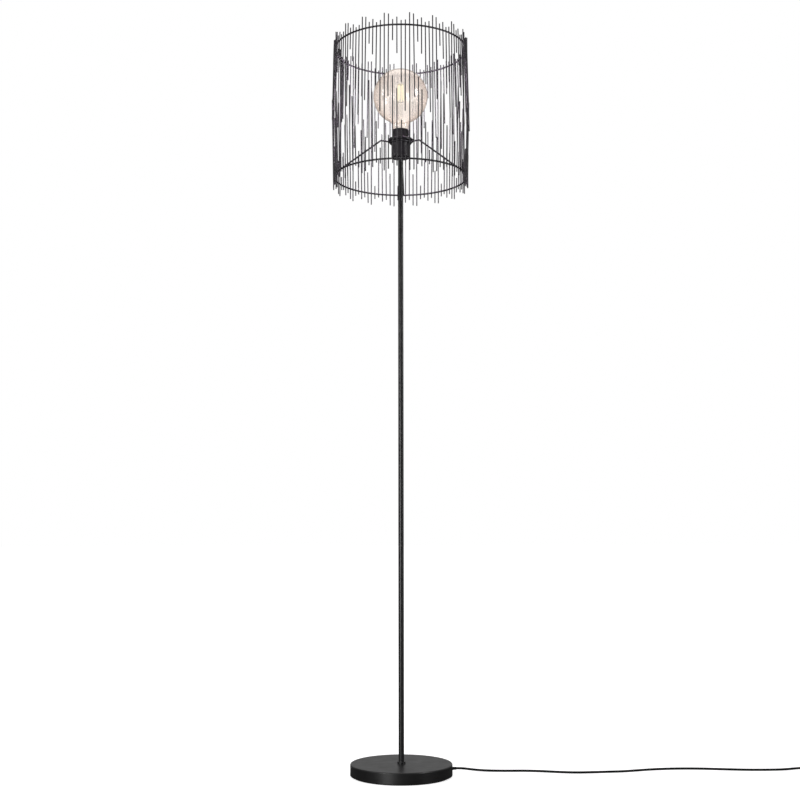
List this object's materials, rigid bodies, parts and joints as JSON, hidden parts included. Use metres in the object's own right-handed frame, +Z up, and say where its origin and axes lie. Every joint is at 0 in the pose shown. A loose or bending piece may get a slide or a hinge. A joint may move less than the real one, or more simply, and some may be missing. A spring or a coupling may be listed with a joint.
{
  "type": "floor lamp",
  "caption": "Floor lamp with a slim pole on a round weighted base, a round shade of many upright wires on two rings, a globe bulb, and a cord with foot switch and plug.",
  "frame": {"origin": "centre of the base on the floor, on the pole's axis", "axes": "+Z up along the pole; the front faces -Y, and the cord leaves the base on the right, +X"},
  "size_m": [1.2782, 0.3167, 1.6552],
  "materials": {
    "black_steel": "satin black powder coat",
    "black_wire": "satin black powder coat",
    "cast_iron": "rough cast",
    "bare_steel": "zinc plated",
    "zinc_stud": "zinc plated thread",
    "foam": "black foam",
    "cord_rubber": "satin black sheath",
    "holder_plastic": "satin black thermoplastic",
    "core_plastic": "pale thermoset",
    "brass": "bright",
    "tinted_glass": "faintly amber clear glass",
    "clear_glass": "clear glass",
    "cap_metal": "nickel plated",
    "black_insulator": "glossy black",
    "support_wire": "bright wire",
    "filament": "pale yellow phosphor, lit",
    "board": "circuit board",
    "switch_plastic": "satin black",
    "button_plastic": "matt black"
  },
  "bodies": {
    "stand": {"base_cover": "black_steel", "pole_lower": "black_steel", "pole_middle": "black_steel", "pole_upper": "black_steel", "pole_collar": "black_steel", "ring_top": "black_wire", "ring_bottom": "black_wire", "shade_arms": "black_wire", "shade_hub": "black_wire", "wires_full": "black_wire", "wires_upper_b": "black_wire", "wires_upper_c": "black_wire", "wires_upper_d": "black_wire", "wires_upper_e": "black_wire", "wires_upper_f": "black_wire", "wires_lower_b": "black_wire", "wires_lower_c": "black_wire", "wires_lower_d": "black_wire", "wires_lower_e": "black_wire", "wires_lower_f": "black_wire", "base_weight": "cast_iron", "base_plate": "bare_steel", "base_screws": "bare_steel", "base_washer": "bare_steel", "base_nut": "bare_steel", "switch_screws": "bare_steel", "switch_spring": "bare_steel", "base_stud": "zinc_stud", "pole_studs": "zinc_stud", "holder_stud": "zinc_stud", "base_pad": "foam", "cord_gland": "cord_rubber", "cord_free": "cord_rubber", "cord_link": "cord_rubber", "cord_coil": "cord_rubber", "cord_tail": "cord_rubber", "inner_lead": "cord_rubber", "switch_reliefs": "cord_rubber", "holder_cap": "holder_plastic", "holder_skirt": "holder_plastic", "shade_ring": "holder_plastic", "holder_core": "core_plastic", "holder_shell": "brass", "holder_contact": "brass", "terminals": "brass", "switch_contacts": "brass", "plug_pins": "brass", "switch_lower": "switch_plastic", "switch_upper": "switch_plastic", "plug_body": "switch_plastic"},
    "switch_button": {"switch_button": "button_plastic", "switch_bridge": "brass"},
    "bulb_foot": {"bulb_pip": "cap_metal", "bulb_insulator": "black_insulator"},
    "bulb": {"bulb_glass": "tinted_glass", "bulb_cap": "cap_metal", "bulb_stem": "clear_glass", "bulb_supports": "support_wire", "bulb_filaments": "filament", "bulb_board": "board"}
  },
  "joints": [
    {"name": "switch_press", "type": "slide", "parent": "stand", "child": "switch_button", "axis": [0, 0, -1], "range_m": [0, 0.003], "stiffness_N_per_m": 500, "springref_m": -0.003, "deforming": ["switch_spring"]},
    {"name": "bulb_lift", "type": "slide", "parent": "stand", "child": "bulb_foot", "axis": [0, 0, 1], "range_m": [0, 0.01453]},
    {"name": "bulb_turn", "type": "hinge", "parent": "bulb_foot", "child": "bulb", "pos_m": [0, 0, 1.5], "axis": [0, 0, 1], "range_deg": [0, 1440]}
  ],
  "couplings": [
    {"joint": "bulb_lift", "follows": "bulb_turn", "m_per_rad": 0.00057757}
  ]
}
